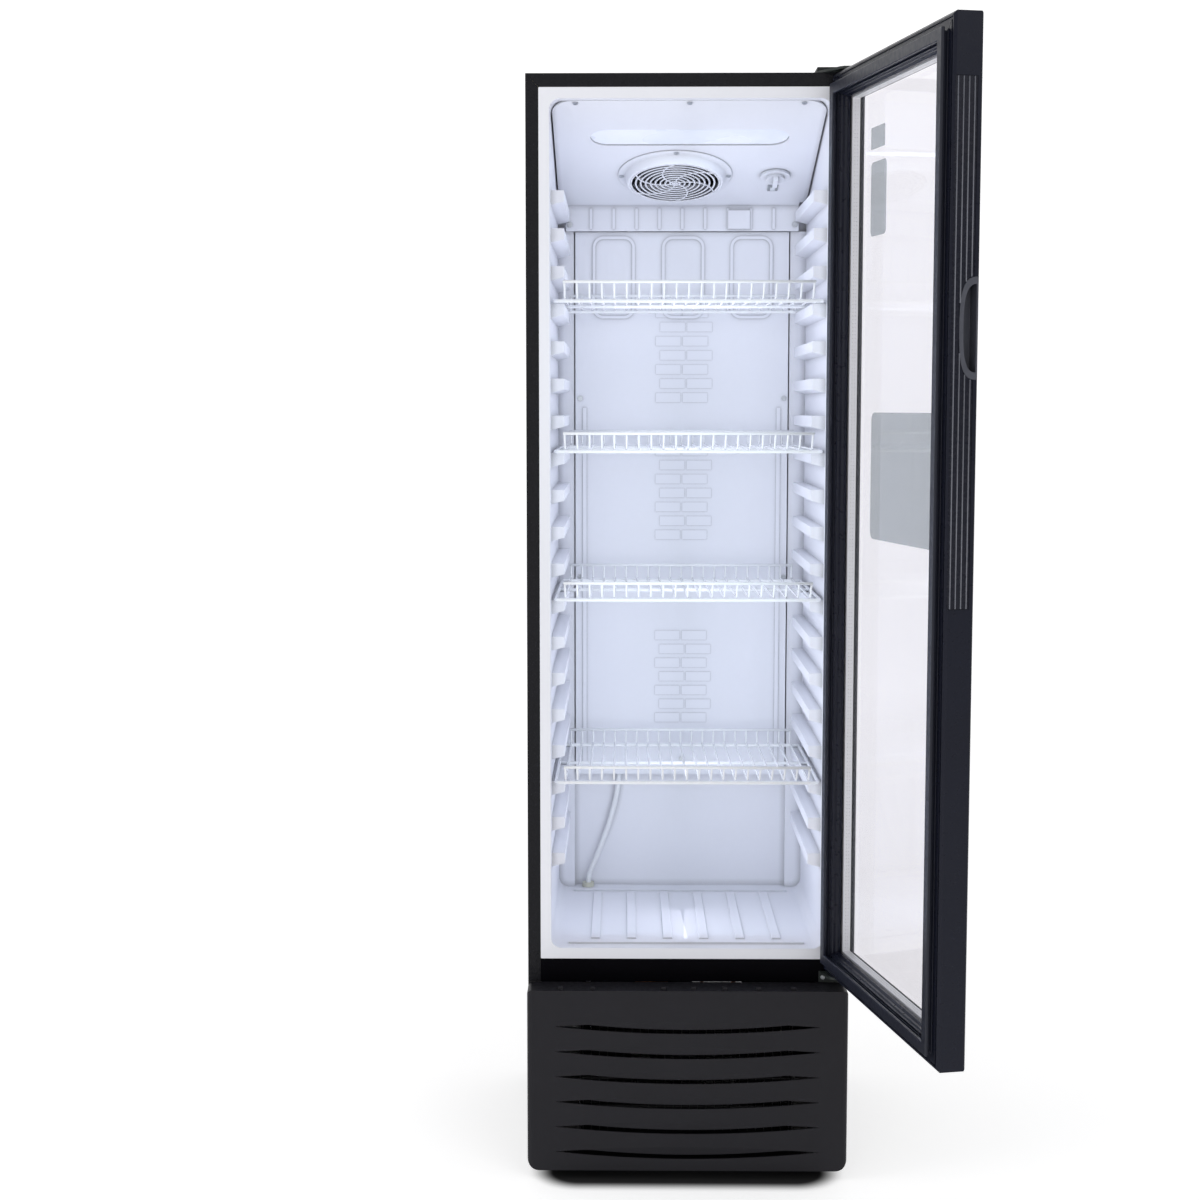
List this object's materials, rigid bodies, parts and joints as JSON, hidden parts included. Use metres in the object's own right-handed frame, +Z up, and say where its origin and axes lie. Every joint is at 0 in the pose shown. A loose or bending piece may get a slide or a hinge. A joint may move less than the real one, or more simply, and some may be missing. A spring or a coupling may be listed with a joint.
{
  "type": "glass door merchandiser",
  "caption": "Slim upright drinks cooler with a hinged double-glazed door, white wire shelves on moulded ledges, a fan-cooled ceiling cover and a louvred plastic base cover.",
  "frame": {"origin": "on the floor, at the middle of the left levelling foot's underside, 215 mm left of the cabinet's middle and 45 mm behind its front face", "axes": "+X to the user's right as they face the door, +Y from the front face back into the cabinet, +Z up"},
  "size_m": [0.6465, 1.0605, 1.8402],
  "materials": {
    "black_steel": "satin",
    "black_rail": "satin",
    "foam": "matte",
    "white_liner": "satin",
    "white_plastic": "satin",
    "screw_steel": "satin",
    "fan_plastic": "satin",
    "dark_plastic": "matte",
    "fin_aluminium": "satin",
    "hose_plastic": "satin",
    "grommet_rubber": "matte",
    "lamp_lens": "gloss",
    "lamp_board": "satin",
    "grey_plastic": "matte",
    "switch_plastic": "satin",
    "white_wire": "gloss",
    "door_profile": "satin",
    "glass": "gloss",
    "spacer_aluminium": "satin",
    "gasket_rubber": "matte",
    "strip_plastic": "satin",
    "handle_plastic": "satin",
    "label_film": "matte",
    "bush_nylon": "satin",
    "hinge_steel": "satin",
    "base_plastic": "satin",
    "pan_steel": "satin",
    "compressor_black": "gloss",
    "black_rubber": "matte",
    "condenser_black": "satin",
    "copper": "satin",
    "cord_rubber": "matte",
    "roller_plastic": "satin"
  },
  "bodies": {
    "cabinet": {"left_side_panel": "black_steel", "right_side_panel": "black_steel", "top_panel": "black_steel", "back_panel": "black_steel", "cross_rail": "black_rail", "foam_insulation": "foam", "liner": "white_liner", "duct_panel": "white_plastic", "evaporator_cover": "white_plastic", "liner_screws": "screw_steel", "fan_grille": "white_plastic", "evaporator_fan_motor": "dark_plastic", "evaporator_coil": "fin_aluminium", "drain_tray": "white_plastic", "drain_hose": "hose_plastic", "drain_grommet": "grommet_rubber", "lamp_lens": "lamp_lens", "lamp_board": "lamp_board", "thermostat_body": "grey_plastic", "light_switch_frame": "grey_plastic", "top_hinge": "hinge_steel", "top_hinge_cover": "dark_plastic", "bottom_hinge": "hinge_steel", "body_screws": "screw_steel", "base_cover": "base_plastic", "base_pan": "pan_steel", "compressor": "compressor_black", "compressor_mounts": "black_rubber", "relay_box": "dark_plastic", "condenser_coil": "condenser_black", "condenser_shroud": "dark_plastic", "condenser_fan_motor": "dark_plastic", "evaporation_tray": "grey_plastic", "refrigerant_pipes": "copper", "power_cord": "cord_rubber", "rear_vent_cover": "black_steel"},
    "door": {"door_hinge_stile": "door_profile", "door_latch_stile": "door_profile", "door_top_rail": "door_profile", "door_bottom_rail": "door_profile", "outer_glass": "glass", "inner_glass": "glass", "glass_spacer": "spacer_aluminium", "door_gasket": "gasket_rubber", "edge_strip": "strip_plastic", "handle_cup": "handle_plastic", "glass_labels": "label_film", "hinge_bushes": "bush_nylon"},
    "evaporator_fan": {"evaporator_fan_blade": "fan_plastic"},
    "condenser_fan": {"condenser_fan_blade": "fan_plastic"},
    "knob": {"thermostat_knob": "white_plastic"},
    "rocker": {"light_switch_rocker": "switch_plastic"},
    "shelf_1": {"shelf_1": "white_wire"},
    "shelf_2": {"shelf_2": "white_wire"},
    "shelf_3": {"shelf_3": "white_wire"},
    "shelf_4": {"shelf_4": "white_wire"},
    "left_foot": {"left_foot": "black_rubber"},
    "right_foot": {"right_foot": "black_rubber"},
    "left_roller": {"left_roller": "roller_plastic"},
    "right_roller": {"right_roller": "roller_plastic"}
  },
  "joints": [
    {"name": "door_hinge", "type": "hinge", "parent": "cabinet", "child": "door", "pos_m": [0.4617, -0.0717, 1.8], "axis": [0, 0, 1], "range_deg": [-102, 3]},
    {"name": "evaporator_fan_spin", "type": "hinge", "parent": "cabinet", "child": "evaporator_fan", "pos_m": [0.198, 0.25167, 1.7007], "axis": [0, -0.3007, -0.9537], "continuous": true},
    {"name": "condenser_fan_spin", "type": "hinge", "parent": "cabinet", "child": "condenser_fan", "pos_m": [0.215, 0.047, 0.162], "axis": [0, -1, 0], "continuous": true},
    {"name": "thermostat_turn", "type": "hinge", "parent": "cabinet", "child": "knob", "pos_m": [0.375, 0.25358, 1.70009], "axis": [0, -0.3007, -0.9537], "range_deg": [-135, 135]},
    {"name": "light_switch_rock", "type": "hinge", "parent": "cabinet", "child": "rocker", "pos_m": [0.375, 0.30603, 1.68356], "axis": [1, 0, 0], "range_deg": [-8, 8]},
    {"name": "shelf_1_slide", "type": "slide", "parent": "cabinet", "child": "shelf_1", "axis": [0, -1, 0], "range_m": [-0.01, 0.006]},
    {"name": "shelf_2_slide", "type": "slide", "parent": "cabinet", "child": "shelf_2", "axis": [0, -1, 0], "range_m": [-0.01, 0.006]},
    {"name": "shelf_3_slide", "type": "slide", "parent": "cabinet", "child": "shelf_3", "axis": [0, -1, 0], "range_m": [-0.01, 0.006]},
    {"name": "shelf_4_slide", "type": "slide", "parent": "cabinet", "child": "shelf_4", "axis": [0, -1, 0], "range_m": [-0.01, 0.006]},
    {"name": "left_foot_level", "type": "slide", "parent": "cabinet", "child": "left_foot", "axis": [0, 0, -1], "range_m": [0, 0.012]},
    {"name": "right_foot_level", "type": "slide", "parent": "cabinet", "child": "right_foot", "axis": [0, 0, -1], "range_m": [0, 0.012]},
    {"name": "left_roller_spin", "type": "hinge", "parent": "cabinet", "child": "left_roller", "pos_m": [0, 0.42, 0.014], "axis": [1, 0, 0], "continuous": true},
    {"name": "right_roller_spin", "type": "hinge", "parent": "cabinet", "child": "right_roller", "pos_m": [0.43, 0.42, 0.014], "axis": [1, 0, 0], "continuous": true}
  ]
}
